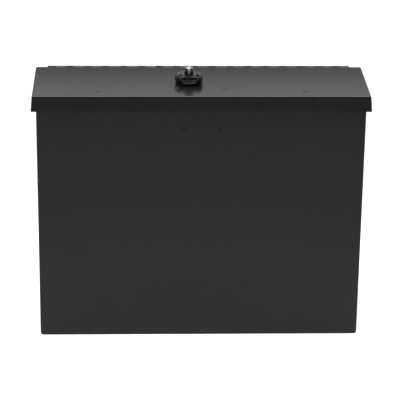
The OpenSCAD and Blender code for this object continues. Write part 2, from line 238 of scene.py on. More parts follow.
def spread(low, high, count):
    return [low + (high - low) * k / count for k in range(count + 1)]


def gridLines(low, high, pitch, *spots):  # evenly spaced lines, with (middle, reach, count) packed closer
    lines = spread(low, high, max(1, round((high - low) / pitch)))
    for middle, reach, count in spots:
        lines = [x for x in lines if abs(x - middle) > reach + 0.3 or x in (low, high)]
        lines += [x for x in spread(middle - reach, middle + reach, count) if low < x < high]
    return sorted(set(round(x, 4) for x in lines))


holeMargin = 1.35  # a hole's square in the grid reaches this many radii from its middle


def gridMesh(us, vs, place, keep=None, holes=()):
    # place(u, v) gives an (outer, inner) pair of points, and a hole is (u, v, radius)
    points = [place(u, v) for u in us for v in vs]
    faces = []
    squares = []
    for u, v, radius in holes:
        half = radius * holeMargin
        squares.append((u - half, u + half, v - half, v + half))
    for i in range(len(us) - 1):
        for j in range(len(vs) - 1):
            u, v = (us[i] + us[i + 1]) / 2, (vs[j] + vs[j + 1]) / 2
            if keep and not keep(u, v):
                continue
            if any(a < u < b and c < v < d for a, b, c, d in squares):
                continue
            k = i * len(vs) + j
            faces.append([k, k + len(vs), k + len(vs) + 1, k + 1])
    for (u, v, radius), (a, b, c, d) in zip(holes, squares):
        near = 0.001
        iu = [i for i, x in enumerate(us) if a - near <= x <= b + near]
        iv = [j for j, x in enumerate(vs) if c - near <= x <= d + near]
        loop = ([(i, iv[0]) for i in iu[:-1]] + [(iu[-1], j) for j in iv[:-1]]
                + [(i, iv[-1]) for i in iu[:0:-1]] + [(iu[0], j) for j in iv[:0:-1]])
        first = len(points)
        for i, j in loop:
            turn = math.atan2(vs[j] - v, us[i] - u)
            points.append(place(u + radius * math.cos(turn), v + radius * math.sin(turn)))
        for n, (i, j) in enumerate(loop):
            i2, j2 = loop[(n + 1) % len(loop)]
            faces.append([i * len(vs) + j, i2 * len(vs) + j2, first + (n + 1) % len(loop), first + n])
    return points, faces


def gridSheet(us, vs, place, keep=None, holes=()):
    return closeSkins(*gridMesh(us, vs, place, keep, holes))


def distinct(corners):  # the same corners in the same order, each one once
    return [v for n, v in enumerate(corners) if v not in corners[:n]]


def lathe(profile, axis=(0, 0, 0), turn=None, segments=48):
    # profile is a list of (radius, height), either a closed loop or a line from the axis to the axis
    bm = bmesh.new()
    rings = []
    for radius, height in profile:
        if radius < 1e-6:
            rings.append([bm.verts.new((0, 0, height))] * segments)
        else:
            rings.append([bm.verts.new((radius * math.cos(t), radius * math.sin(t), height))
                          for t in (2 * math.pi * k / segments for k in range(segments))])
    loop = profile[0][0] > 1e-6
    pairs = list(zip(rings, rings[1:])) + ([(rings[-1], rings[0])] if loop else [])
    for low, high in pairs:
        for k in range(segments):
            corners = distinct([low[k], low[(k + 1) % segments], high[(k + 1) % segments], high[k]])
            if len(corners) > 2:
                bm.faces.new(corners)
    bmesh.ops.recalc_face_normals(bm, faces=bm.faces)
    if turn:
        bm.transform(turn)
    bm.transform(Matrix.Translation(axis))
    return bm


def rod(radius, low, high, segments):
    return lathe([(0, low), (radius, low), (radius, high), (0, high)], segments=segments)


def joinAll(parts):
    whole = bmesh.new()
    for part in parts:
        mesh = bpy.data.meshes.new("part")
        part.to_mesh(mesh)
        part.free()
        whole.from_mesh(mesh)
        bpy.data.meshes.remove(mesh)
    return whole


def objectOf(name, bm):
    mesh = bpy.data.meshes.new(name)
    bm.to_mesh(mesh)
    bm.free()
    made = bpy.data.objects.new(name, mesh)
    bpy.context.scene.collection.objects.link(made)
    return made


def bakeModifiers(made):
    bpy.context.view_layer.update()
    evaluated = made.evaluated_get(bpy.context.evaluated_depsgraph_get())
    mesh = bpy.data.meshes.new_from_object(evaluated)
    made.modifiers.clear()
    old = made.data
    made.data = mesh
    bpy.data.meshes.remove(old)


def addModifier(made, kind, **settings):
    modifier = made.modifiers.new(kind.lower(), kind)
    for name, value in settings.items():
        setattr(modifier, name, value)
    return modifier


def finishPiece(name, bm, body, finish, nodes=(), edge=0.0, crease=42):
    made = bm if isinstance(bm, bpy.types.Object) else objectOf(name, bm)
    if edge:
        addModifier(made, "BEVEL", width=edge, segments=2, limit_method="ANGLE", angle_limit=math.radians(55),
                    use_clamp_overlap=True)
        bakeModifiers(made)
    made.data.transform(Matrix.Scale(mm, 4))
    made.data.shade_smooth()
    made.data.set_sharp_from_angle(angle=math.radians(crease))
    addModifier(made, "WEIGHTED_NORMAL", keep_sharp=True, weight=80)
    bakeModifiers(made)
    made.name = name
    made.data.name = name
    made.data.materials.clear()
    made.data.materials.append(finishes[finish])
    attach(made, body)
    if nodes:
        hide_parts(*nodes)
    return made


def unevenness(x, y, seed, pitch=130.0, depth=0.25):  # how far a large sheet bows in, never out
    return depth * (0.5 - 0.5 * noise.noise(Vector((x / pitch, y / pitch, seed))))


def roundOff(way, radius):  # how far a soft edge falls away, this far in from the edge
    return radius - math.sqrt(max(0, radius * radius - (radius - way) ** 2)) if way < radius else 0.0


def dimples(place, spots, radius, depth):  # how deep the soft dips round all the fixings are at this place
    return sum(depth * math.exp(-(math.dist(place, spot) / radius) ** 2 * 2) for spot in spots)


cameraLook = dict(lens=170.0, turn=-2.181, dip=21.879, roll=0.714, left=93.1, out=2417.1, up=820.4)


def makeCamera(look):
    low, high = boxOf("lid_sheet")
    turn, dip, roll = (math.radians(look[k]) for k in ("turn", "dip", "roll"))
    side = Vector((math.cos(turn), math.sin(turn), 0))
    ahead = Vector((-math.sin(turn), math.cos(turn), 0))
    forward = ahead * math.cos(dip) - Vector((0, 0, math.sin(dip)))
    upright = ahead * math.sin(dip) + Vector((0, 0, math.cos(dip)))
    right = side * math.cos(roll) + upright * math.sin(roll)
    top = upright * math.cos(roll) - side * math.sin(roll)
    camera = bpy.data.objects.new("camera", bpy.data.cameras.new("camera"))
    bpy.context.scene.collection.objects.link(camera)
    camera.data.lens = look["lens"]
    camera.data.sensor_width = 36
    camera.data.clip_end = 100
    frontEdge = low.y + lidSizes["flare"]
    place = Vector((-look["left"], frontEdge - look["out"], high.z + look["up"])) * mm
    turned = Matrix((right, top, -forward)).transposed().to_4x4()
    camera.matrix_world = Matrix.Translation(place) @ turned
    bpy.context.scene.camera = camera


# painted light: the floor glows, brightest in a ring close round the object to wash out the box's contact
# shadow, and brighter far off to keep the distant floor pale
floorLook = dict(size=40.0, shadowFill=(0.42, 0.42, 0.42, 1), near=(0.12, 0.12, 0.12, 1),
                 far=(0.75, 0.75, 0.75, 1), shadowFillFrom=0.28, shadowFillTo=0.6, fadeFrom=2.8, fadeTo=8.0,
                 light=(0.8, 0.8, 0.8, 1), dark=(0.77, 0.77, 0.77, 1))


def makeFloor(look):  # painted light: its glow depends on the distance from the object, in metres; it is brightest close round the object to wash out the box's contact shadow, and brighter again far off
    bm = bmesh.new()
    bmesh.ops.create_grid(bm, x_segments=8, y_segments=8, size=look["size"] / 2 / mm)
    floor = objectOf("floor", bm)
    floor.data.transform(Matrix.Scale(mm, 4))
    paper = Finish("paleFloor", {"Specular IOR Level": 0.1, "Emission Strength": 1.0})
    away = paper.add("ShaderNodeVectorMath", dict(operation="LENGTH"), {0: paper.place}, 1)
    glow = paper.blend(paper.step(away, look["fadeFrom"], look["fadeTo"]), look["near"], look["far"])
    # painted light: the stronger glow close round the object fills in the box's contact shadow on the floor
    glow = paper.blend(paper.step(away, look["shadowFillFrom"], look["shadowFillTo"]), look["shadowFill"], glow)
    paper.plug(paper.shader.inputs["Emission Color"], glow)
    fibres = paper.cloud(paper.place, 90, 4)
    paper.use(baseColor=paper.blend(fibres, look["light"], look["dark"]), roughness=0.85 + 0.1 * fibres)
    floor.data.materials.append(paper.material)


softboxes = dict(
    strip=dict(place=(0.0, -0.21, 2.0), size=(2.6, 0.95), brightness=17.0, lights=False, reflects=True),
    card=dict(place=(0.0, 0.32, 0.59), size=(1.4, 0.24), tilt=90, brightness=1.22, lights=False,
              reflects=True),
    key=dict(place=(0.0, -0.35, 1.5), size=(2.8, 0.7), brightness=6.9, lights=True, reflects=False),
    rear=dict(place=(0.0, 1.6, 2.2), size=(3.6, 1.5), brightness=4.0, lights=True, reflects=False))


def makeLights(boxes):  # the strip and the card are only there to be seen in the paint; the others only light
    for name, look in boxes.items():
        light = bpy.data.lights.new(name, "AREA")
        light.shape = "RECTANGLE"
        light.size, light.size_y = look["size"]
        light.energy = look["brightness"] * math.pi * light.size * light.size_y
        lamp = bpy.data.objects.new(name, light)
        lamp.location = look["place"]
        lamp.rotation_euler.x = math.radians(-look.get("tilt", 0))
        lamp.visible_camera = False
        lamp.visible_diffuse = look["lights"]
        lamp.visible_glossy = look["reflects"]
        bpy.context.scene.collection.objects.link(lamp)


roomLook = dict(front=0.07, sides=0.2, backLow=0.12, backHigh=0.34, above=0.05,
                wallFoot=8, wallTop=22, wallFade=4)


def makeRoom(look):  # a dark studio with one long grey wall behind, brighter towards its top
    world = bpy.data.worlds.new("studio")
    world.use_nodes = True
    bpy.context.scene.world = world
    room = NodeTree(world.node_tree)
    heading = room.add("ShaderNodeTexCoord", None, None, "Generated")
    split = room.add("ShaderNodeSeparateXYZ", None, {0: heading})
    parts = split.socket.node.outputs
    toBack, upward = Value(room, parts["Y"]), Value(room, parts["Z"])
    foot, top, over = (math.sin(math.radians(a)) for a in
                       (look["wallFoot"], look["wallTop"], look["wallTop"] + look["wallFade"]))
    low = 1 - room.step(upward, top, over)
    back = room.step(toBack, 0.25, 0.75)
    side = 1 - room.step(toBack * toBack, 0.2, 0.8)
    climb = room.add("ShaderNodeMapRange", None, {"Value": upward, "From Min": foot, "From Max": top})
    wall = look["backLow"] + (look["backHigh"] - look["backLow"]) * climb
    glow = (look["front"] + (look["sides"] - look["front"]) * side) * low + look["above"] * (1 - low)
    glow = glow + (wall - look["front"]) * (back * low)
    sky = world.node_tree.nodes["Background"]
    room.plug(sky.inputs["Strength"], glow)
    sky.inputs["Color"].default_value = (1, 1, 1, 1)


rivetSizes = dict(tailR=3.2, tailHeight=1.2, shank=2.35,
                  striker=dict(headR=3.4, headHeight=0.7, grip=3.5),
                  stiffener=dict(headR=3.0, headHeight=0.5, grip=3.0),
                  doubler=dict(headR=3.0, headHeight=0.5, grip=3.5))


def rivetXs(node, reach):  # where the node's two rivets stand along X
    low, high = boxOf(node)
    return low.x + reach, high.x - reach


lidSizes = dict(sheet=1.5, bend=2.4, flare=1.55, corner=1.1, bendSteps=6, cornerSteps=4,
                dimpleR=4.6, dimpleDepth=0.22, neckHole=9.25)


def lidRoute(xs, ys, steps):  # the turned-down edges run back to front, across, and back again
    last, sides = len(xs) - 1, list(enumerate(ys))[1:]
    index = lambda i, j: i * len(ys) + j
    route = [(-1, y, index(0, j), 0) for j, y in reversed(sides)]
    route += [("corner", -1, index(0, 0), k / steps) for k in range(steps + 1)]
    route += [("front", x, index(i, 0), 0) for i, x in enumerate(xs)][1:-1]
    route += [("corner", 1, index(last, 0), 1 - k / steps) for k in range(steps + 1)]
    return route + [(1, y, index(last, j), 0) for j, y in sides]


def lidRows(sizes, height):  # each row's inset and drop, outside and inside, and its corner's radius
    sheet, bend = sizes["sheet"], sizes["bend"]
    rows = []
    for a in spread(0, 90, sizes["bendSteps"])[1:]:
        s, c = math.sin(math.radians(a)), math.cos(math.radians(a))
        rows.append((bend * (1 - s), bend * (1 - c), sheet + (bend - sheet) * (1 - s),
                     sheet + (bend - sheet) * (1 - c), sizes["corner"] * a / 90))
    for k in (0.25, 0.5, 0.75, 1.0):
        drop = bend + (height - bend) * k
        out = sizes["flare"] * k
        rows.append((-out, drop, sheet - out, drop, sizes["corner"]))
    return rows


def makeLid(sizes):
    low, high = boxOf("lid_sheet")
    halfWidth, frontY, backY, top = high.x - sizes["flare"], low.y + sizes["flare"], high.y, high.z
    bend, lock = sizes["bend"], joints["lock_turn"]
    fixings = []
    for node in ("stiffener_rivets", "doubler_rivets"):
        a, b = boxOf(node)
        fixings += [(x, (a.y + b.y) / 2) for x in rivetXs(node, rivetSizes["tailR"])]
    half = sizes["neckHole"] * holeMargin
    acrossSpots = [(x, 7, 14) for x, y in fixings]
    depthSpots = [(y, 6.2, 12) for y in sorted({y for x, y in fixings})]
    xs = gridLines(bend - halfWidth, halfWidth - bend, 12, *acrossSpots, (lock.x, half, 10))
    ys = gridLines(frontY + bend, backY, 11, *depthSpots, (lock.y, half, 10))

    def plate(x, y):
        down = unevenness(x, y, 1.5, 160, 0.3) * min(1, (halfWidth - abs(x)) / 30) * min(1, (y - frontY) / 30)
        down += dimples((x, y), fixings, sizes["dimpleR"], sizes["dimpleDepth"])
        return Vector((x, y, top - down)), Vector((x, y, top - sizes["sheet"] - down))

    def edgePoint(step, inset, drop, corner):
        x, y = halfWidth - inset, frontY + inset
        if step[0] in (-1, 1):
            return Vector((step[0] * x, step[1], top - drop))
        if step[0] == "front":
            return Vector((step[1], y, top - drop))
        turn = step[3] * math.pi / 2
        return Vector((step[1] * (x - corner + corner * math.cos(turn)), y + corner - corner * math.sin(turn),
                       top - drop))

    points, faces = gridMesh(xs, ys, plate, None, [(lock.x, lock.y, sizes["neckHole"])])
    route = lidRoute(xs, ys, sizes["cornerSteps"])
    previous = [step[2] for step in route]
    for inset, drop, insetIn, dropIn, corner in lidRows(sizes, high.z - low.z):
        current = []
        for step in route:
            current.append(len(points))
            outer = edgePoint(step, inset, drop, corner)
            points.append((outer, edgePoint(step, insetIn, dropIn, corner * 0.5)))
        for k in range(len(route) - 1):
            faces.append(distinct([previous[k], previous[k + 1], current[k + 1], current[k]]))
        previous = current
    finishPiece("lidSheet", closeSkins(points, faces), "lid", "coat", ["lid_sheet"], edge=0.25)


caseSizes = dict(sheet=1.5, rimBend=2.5, rimWidth=12.0, floorBend=4.0, edgeRound=1.25, edgeLine=2.6,
                 bendSteps=6, rimGap=0.5, dimpleR=4.8, dimpleDepth=0.2, cableHole=11, drainX=120, drainR=4)


def intoCorner(x, z, half, radius):  # turns a square corner of the grid round, and gives the way to the edge
    a, b = (abs(x) - (half - radius)) / radius, (radius - z) / radius
    if a <= 0 or b <= 0:
        return x, z, min(half - abs(x), z)
    a, b = a * math.sqrt(1 - b * b / 2), b * math.sqrt(1 - a * a / 2)
    reach = min(1, math.hypot(a, b))
    return math.copysign(half - radius + a * radius, x), radius - b * radius, radius * (1 - reach)


def makeLongWall(name, node, outward, holes, seed, sizes, fixings=()):
    low, high = boxOf(node)
    half, faceY = high.x, (high.y if outward > 0 else low.y)
    sheet, bend, soft = sizes["sheet"], sizes["rimBend"], sizes["edgeRound"]
    wallTop = high.z - bend
    bendEnd = wallTop + bend
    flangeEnd = bendEnd + sizes["rimWidth"] - bend
    inset = [soft * (1 - math.sin(math.radians(a))) for a in (90, 67, 45, 22, 0)] + [sizes["edgeLine"]]
    corner = sizes["floorBend"]
    xs = gridLines(corner - half, half - corner, 20, *[(x, r * holeMargin, 6) for x, z, r in holes],
                   *[(x, 7, 8) for x, z in fixings])
    ends = [round(s * (half - d), 4) for s in (-1, 1) for d in inset]
    xs = sorted(set(ends + xs + [bend - half, half - bend]))
    zs = gridLines(corner, wallTop, 20, *[(z, r * holeMargin, 6) for x, z, r in holes[:1]],
                   *[(z, 7, 8) for x, z in fixings[:1]])
    zs = sorted(set([round(d, 4) for d in inset] + zs))
    zs += spread(wallTop, bendEnd, sizes["bendSteps"])[1:] + spread(bendEnd, flangeEnd, 2)[1:]

    def place(x, z):
        if z <= wallTop:
            x, z, way = intoCorner(x, z, half, corner)
            sink = roundOff(way, soft)
            near = min(1, way / 40, (wallTop - z) / 40)
            bow = unevenness(x, z, seed) * near
            bow += dimples((x, z), fixings, sizes["dimpleR"], sizes["dimpleDepth"])
            return (Vector((x, faceY - outward * (sink + bow), z)),
                    Vector((x, faceY - outward * (sheet + bow), z)))
        turn = math.radians(min(90, (z - wallTop) / bend * 90))
        further = max(0, z - bendEnd)
        outerY, innerY = bend - bend * math.cos(turn), bend - (bend - sheet) * math.cos(turn)
        outerZ, innerZ = wallTop + bend * math.sin(turn), wallTop + (bend - sheet) * math.sin(turn)
        return (Vector((x, faceY - outward * (outerY + further), outerZ)),
                Vector((x, faceY - outward * (innerY + further), innerZ)))

    keep = lambda x, z: z < wallTop or abs(x) < half - bend
    bm = gridSheet(xs, zs, place, keep, holes)
    finishPiece(name, bm, "case", "coat", [node], edge=0.2)


def floorHoles(midY, boltR, drainR):  # the four bolts and the two drains
    dims = frame["record"]["mounts"][1]["dims"]
    boltX, boltY = dims["spacing_x_mm"] / 2, dims["spacing_y_mm"] / 2
    bolts = [(x * boltX, midY + y * boltY, boltR) for x in (-1, 1) for y in (-1, 1)]
    return bolts + [(x * caseSizes["drainX"], midY, drainR) for x in (-1, 1)]


def makeWrap(sizes):
    low, high = boxOf("end_and_floor_wrap")
    half, top = high.x, high.z
    sheet, floorBend, rimBend = sizes["sheet"], sizes["floorBend"], sizes["rimBend"]
    flat = half - floorBend
    bendEnd = flat + floorBend
    wallEnd = bendEnd + top - rimBend - floorBend
    rimEnd = wallEnd + rimBend
    flangeEnd = rimEnd + sizes["rimWidth"] - rimBend
    cut = sizes["rimWidth"] + sizes["rimGap"] - sheet
    midY = (low.y + high.y) / 2
    holes = floorHoles(midY, frame["record"]["mounts"][1]["dims"]["hole_r_mm"], sizes["drainR"])
    right = (spread(flat, bendEnd, sizes["bendSteps"]) + spread(bendEnd, wallEnd, 16)[1:]
             + spread(wallEnd, rimEnd, sizes["bendSteps"])[1:] + spread(rimEnd, flangeEnd, 2)[1:])
    along = gridLines(-flat, flat, 22, *[(x, r * holeMargin, 6) for x, y, r in holes if y >= midY])
    along = sorted(set([round(-v, 4) for v in right] + along + [round(v, 4) for v in right]))
    across = gridLines(low.y, high.y, 13, *[(y, r * holeMargin, 6) for x, y, r in holes if x > 0])
    across = sorted(set(across + [low.y + cut, high.y - cut]))

    def place(v, y):
        a, s = abs(v), math.copysign(1, v)
        if a <= flat:
            lift = unevenness(v, y, 7.1, 90, 0.15)
            lift *= min(1, (y - low.y) / 20, (high.y - y) / 20, (flat - a) / 20)
            return Vector((v, y, lift)), Vector((v, y, sheet + lift))
        if a <= bendEnd:
            turn = (a - flat) / floorBend * math.pi / 2
            reach = floorBend - sheet
            return (Vector((s * (flat + floorBend * math.sin(turn)), y, floorBend * (1 - math.cos(turn)))),
                    Vector((s * (flat + reach * math.sin(turn)), y, floorBend - reach * math.cos(turn))))
        if a <= wallEnd:
            z = floorBend + a - bendEnd
            near = max(0, min(1, (y - low.y) / 30, (high.y - y) / 30, (wallEnd - a) / 30, (a - bendEnd) / 30))
            bow = unevenness(y, z, 3.3 * s, 110, 0.3) * near
            return Vector((s * (half - bow), y, z)), Vector((s * (half - sheet - bow), y, z))
        turn = min(1, (a - wallEnd) / rimBend) * math.pi / 2
        further = max(0, a - rimEnd)

        def rim(radius):
            out = half - rimBend + radius * math.cos(turn) - further
            return Vector((s * out, y, top - rimBend + radius * math.sin(turn)))

        return rim(rimBend), rim(rimBend - sheet)

    keep = lambda v, y: abs(v) < wallEnd or low.y + cut < y < high.y - cut
    bm = gridSheet(along, across, place, keep, holes)
    finishPiece("endAndFloorWrap", bm, "case", "coat", ["end_and_floor_wrap"], edge=0.2)


def makeCase(sizes):
    low, high = boxOf("cable_grommets")
    cableX, cableZ = high.x - (high.z - low.z) / 2, (low.z + high.z) / 2
    cables = [(side * cableX, cableZ, sizes["cableHole"]) for side in (-1, 1)]
    low, high = boxOf("striker_rivets")
    fixings = [(x, (low.z + high.z) / 2) for x in rivetXs("striker_rivets", rivetSizes["striker"]["headR"])]
    makeLongWall("frontPanel", "front_panel", -1, [], 2.2, sizes, fixings)
    makeLongWall("backPanel", "back_panel", 1, cables, 5.4, sizes)
    makeWrap(sizes)


hingeSizes = dict(count=34, gap=0.35, barrel=6.4, bore=1.72, leaf=1.2, seam=12, rollSteps=22, spotPitch=4,
                  spotR=3.2, spotDimple=3.0, spotDepth=0.28, bodySpot=9, lidSpot=8, touch=120, lidRoll=285)


def makeLeaf(name, node, body, first, section, plateRows, sizes, spotPlace):
    # section is a list of (outer, inner) outline points in Y and Z; its first plateRows are the flat leaf
    start = -boxOf("hinge_body_leaf")[1].x
    pitch = -2 * start / sizes["count"]
    xs = [start, -start]
    for k in range(sizes["count"]):
        xs += [start + k * pitch + sizes["gap"] / 2, start + (k + 1) * pitch - sizes["gap"] / 2]
    spots = [(start + (k + 0.5) * pitch, spotPlace) for k in range(first, sizes["count"], sizes["spotPitch"])]
    for x, along in spots:
        xs += spread(x - sizes["spotR"], x + sizes["spotR"], 6)
    xs = sorted(set(round(x, 3) for x in xs))
    upright = abs(section[0][0][1] - section[1][0][1]) > 0.01
    inward = (Vector(section[0][1]) - Vector(section[0][0])).normalized()

    def place(x, row):
        press = 0
        if row < plateRows:
            along = section[row][0][1 if upright else 0]
            press = dimples((x, along), spots, sizes["spotDimple"], sizes["spotDepth"])
        return tuple(Vector((x, y + press * inward[0], z + press * inward[1])) for y, z in section[row])

    def keep(x, row):
        if row < plateRows - 1:
            return True
        k = math.floor((x - start) / pitch)
        inside = sizes["gap"] / 2 < x - start - k * pitch < pitch - sizes["gap"] / 2
        return inside and k % 2 == first

    bm = gridSheet(xs, list(range(len(section))), place, keep)
    finishPiece(name, bm, body, "coat", [node], edge=0.18)


def rollPoints(angles, radii):  # a leaf's rolled end about the hinge's axis
    axis = joints["lid_hinge"]
    points = []
    for a in angles:
        c, s = math.cos(math.radians(a)), math.sin(math.radians(a))
        points.append(tuple((axis.y + r * c, axis.z + r * s) for r in radii))
    return points


def makeBodyLeaf(sizes):  # flat on the back wall, then rolled over the top and down behind
    axis, r, t = joints["lid_hinge"], sizes["barrel"] / 2, sizes["leaf"]
    leafTop, leafBase = axis.z - r - 0.4, boxOf("hinge_body_leaf")[0].z
    face = axis.y - r
    spotZ = leafBase + sizes["bodySpot"]
    rows = gridLines(leafBase, leafTop, 6, (spotZ, sizes["spotR"], 6))
    section = [((face + t, v), (face, v)) for v in rows]
    plateRows = len(section)
    section += [((face + t + 0.05, leafTop + 1.2), (face, leafTop + 1.2))]
    section += rollPoints(spread(180, sizes["seam"] - 90, sizes["rollSteps"]), (sizes["bore"], r))
    makeLeaf("hingeBodyLeaf", "hinge_body_leaf", "case", 1, section, plateRows, sizes, spotZ)


def makeLidLeaf(sizes):  # flat under the lid, bent up to the barrel, then rolled over, behind and underneath
    axis, r, t = joints["lid_hinge"], sizes["barrel"] / 2, sizes["leaf"]
    frontEdge = boxOf("hinge_lid_leaf")[0].y
    lidHigh = boxOf("lid_sheet")[1]
    under = lidHigh.z - lidSizes["sheet"]
    spotY = frontEdge + sizes["lidSpot"]
    rows = gridLines(frontEdge, lidHigh.y - 0.2, 6, (spotY, sizes["spotR"], 6))
    section = [((v, under), (v, under - t)) for v in rows]
    plateRows = len(section)
    touch = sizes["touch"]
    rise = axis.z + r * math.sin(math.radians(touch))
    touchY = axis.y + r * math.cos(math.radians(touch))
    kneeY = touchY - (rise - under) * math.sqrt(3)  # a slope that touches at 120 degrees climbs at 30
    section += [((kneeY, under), (kneeY + 0.3, under - t))]
    section += rollPoints(spread(touch, touch - sizes["lidRoll"], sizes["rollSteps"]), (r, sizes["bore"]))
    makeLeaf("hingeLidLeaf", "hinge_lid_leaf", "lid", 0, section, plateRows, sizes, spotY)


def makePin():  # a rod with slightly domed ends
    low, high = boxOf("hinge_pin")
    axis = joints["lid_hinge"]
    length, radius = high.x - low.x, (high.z - low.z) / 2
    tip = [(0, 0), (radius * 0.6, 0.05), (radius * 0.9, 0.25), (radius, 0.6)]
    profile = tip + [(r, length - h) for r, h in reversed(tip)]
    bm = lathe(profile, (low.x, axis.y, axis.z), Matrix.Rotation(math.pi / 2, 4, "Y"), 24)
    finishPiece("hingePin", bm, "case", "zinc", ["hinge_pin"])


def rivetProfile(head):
    headR, grip = head["headR"], head["grip"]
    tailR, tailHeight, shank = (rivetSizes[k] for k in ("tailR", "tailHeight", "shank"))
    dome = [(headR * math.sin(math.radians(a)), head["headHeight"] * math.cos(math.radians(a)))
            for a in range(0, 91, 15)]
    dome[-1] = (headR, 0)
    tail = [(shank, 0), (shank, -grip), (tailR - 0.4, -grip), (tailR, -grip - 0.4),
            (tailR - 0.5, -grip - tailHeight), (0, -grip - tailHeight)]
    return dome + tail


def makeRivets(name, node, body, head, turn=None):
    low, high = boxOf(node)
    parts = []
    for x in rivetXs(node, max(head["headR"], rivetSizes["tailR"])):
        if turn:
            place = (x, low.y + head["headHeight"], (low.z + high.z) / 2)
        else:
            place = (x, (low.y + high.y) / 2, high.z - head["headHeight"])
        parts.append(lathe(rivetProfile(head), place, turn, 32))
    finishPiece(name, joinAll(parts), body, "coat", [node])


def blockCutter(name, size, place=(0, 0, 0), turn=0.0):  # a plain block to cut with, turned about Z
    block = bmesh.new()
    bmesh.ops.create_cube(block, size=1)
    block.transform(Matrix.Translation(place) @ Matrix.Rotation(turn, 4, "Z") @ Matrix.Diagonal((*size, 1)))
    return objectOf(name, block)


def cutBy(body, cutters, operation="DIFFERENCE"):
    for cutter in cutters:
        addModifier(body, "BOOLEAN", operation=operation, object=cutter, solver="EXACT")
    bakeModifiers(body)
    for cutter in cutters:
        bpy.data.objects.remove(cutter)


lockSizes = dict(seal=0.8, skirtIn=0.75, skirtTop=4.8, domeLow=6.3, domeIn=5.5, domeTop=14.2, barrel=6.25,
                 barrelTop=17.7, scoopR=12.0, scoopBack=9.5, scoopFloor=7.1, scoopSlope=12.0, lip=10.7,
                 lipStep=4.5, channelHalf=10.8, channelFloor=12.4, boreIn=0.4, voxel=0.34, smooth=5,
                 neck=9.0, threadPitch=1.5, threadDepth=0.45)


def scoopCutter(sizes):  # the front half of a disc, tipped down towards the front
    scoop = rod(sizes["scoopR"], 0, 12, 72)
    geom = scoop.verts[:] + scoop.edges[:] + scoop.faces[:]
    bmesh.ops.bisect_plane(scoop, geom=geom, plane_co=(0, 0, 0), plane_no=(0, 1, 0), clear_outer=True)
    bmesh.ops.holes_fill(scoop, edges=[e for e in scoop.edges if e.is_boundary])
    scoop.transform(Matrix.Translation((0, -sizes["scoopBack"], sizes["scoopFloor"]))
                    @ Matrix.Rotation(math.radians(sizes["scoopSlope"]), 4, "X"))
    return objectOf("scoopCutter", scoop)


def makeHousing(sizes):  # cut and joined sharp, then remeshed and smoothed for a casting's soft edges
    low, high = boxOf("lock_housing")
    wide = (high.x - low.x) / 2
    seal, domeLow, domeHeight = sizes["seal"], sizes["domeLow"], sizes["domeTop"] - sizes["domeLow"]
    skirt = wide - sizes["skirtIn"]
    profile = [(0, seal), (skirt, seal), (skirt, sizes["skirtTop"]), (wide, sizes["skirtTop"] + 0.5),
               (wide, domeLow)]
    for a in range(10, 91, 10):
        profile.append((wide - sizes["domeIn"] * (1 - math.cos(math.radians(a))),
                        domeLow + domeHeight * math.sin(math.radians(a))))
    profile.append((0, sizes["domeTop"]))
    body = objectOf("lockBody", lathe(profile, segments=96))
    channel = (2 * sizes["channelHalf"], 2 * wide + 2, 6)
    cutBy(body, [blockCutter("channelCutter", channel, (0, 0, sizes["channelFloor"] + 3))])
    cutBy(body, [objectOf("barrelBody", rod(sizes["barrel"], 2, sizes["barrelTop"], 72))], "UNION")
    cutters = [scoopCutter(sizes)]
    reach = wide + 1 - sizes["lipStep"]
    cutters.append(blockCutter("stepCutter", (2 * sizes["scoopR"] + 2, reach, 6),
                               (0, -sizes["lipStep"] - reach / 2, sizes["lip"] + 3)))
    plugLow, plugHigh = boxOf("key_plug")
    cutters.append(objectOf("boreCutter", rod((plugHigh.x - plugLow.x) / 2 - sizes["boreIn"], -2, 20, 48)))
    cutBy(body, cutters)
    addModifier(body, "REMESH", mode="VOXEL", voxel_size=sizes["voxel"])
    addModifier(body, "SMOOTH", factor=0.5, iterations=sizes["smooth"])
    bakeModifiers(body)
    axis = joints["lock_turn"]
    body.data.transform(Matrix.Translation((axis.x, axis.y, boxOf("lid_sheet")[1].z)))
    finishPiece("lockHousing", body, "lid", "lock", ["lock_housing"], crease=75)


def makeNeck(sizes):  # the housing's threaded neck, through the lid
    lidTop = boxOf("lid_sheet")[1].z
    neckLow = boxOf("lock_housing")[0].z - lidTop
    plugLow, plugHigh = boxOf("key_plug")
    plugR, crest, seal = (plugHigh.x - plugLow.x) / 2, sizes["neck"], sizes["seal"]
    root, pitch = crest - sizes["threadDepth"], sizes["threadPitch"]
    thread = [(plugR + 0.2, seal + 0.5), (root, seal + 0.5)]
    for k in range(int((seal - neckLow - 2) / pitch)):
        top = seal - 1 - k * pitch
        thread += [(root, top), (crest, top - pitch * 0.4), (crest, top - pitch * 0.6)]
    thread += [(root, neckLow + 0.6), (root - 0.5, neckLow), (plugR - 0.3, neckLow), (plugR - 0.3, 0)]
    axis = joints["lock_turn"]
    finishPiece("lockNeck", lathe(thread, (axis.x, axis.y, lidTop)), "lid", "zinc", crease=30)


plugSizes = dict(tail=3, shoulder=-30.2, body=4.8, collar=5.25, collarLow=18.1, top=22.2, rimRound=0.3,
                 dishOuter=3.9, dishInner=3.7, dish=0.5, keyWidth=1.4, keyLength=7.0, keyDepth=3.2)


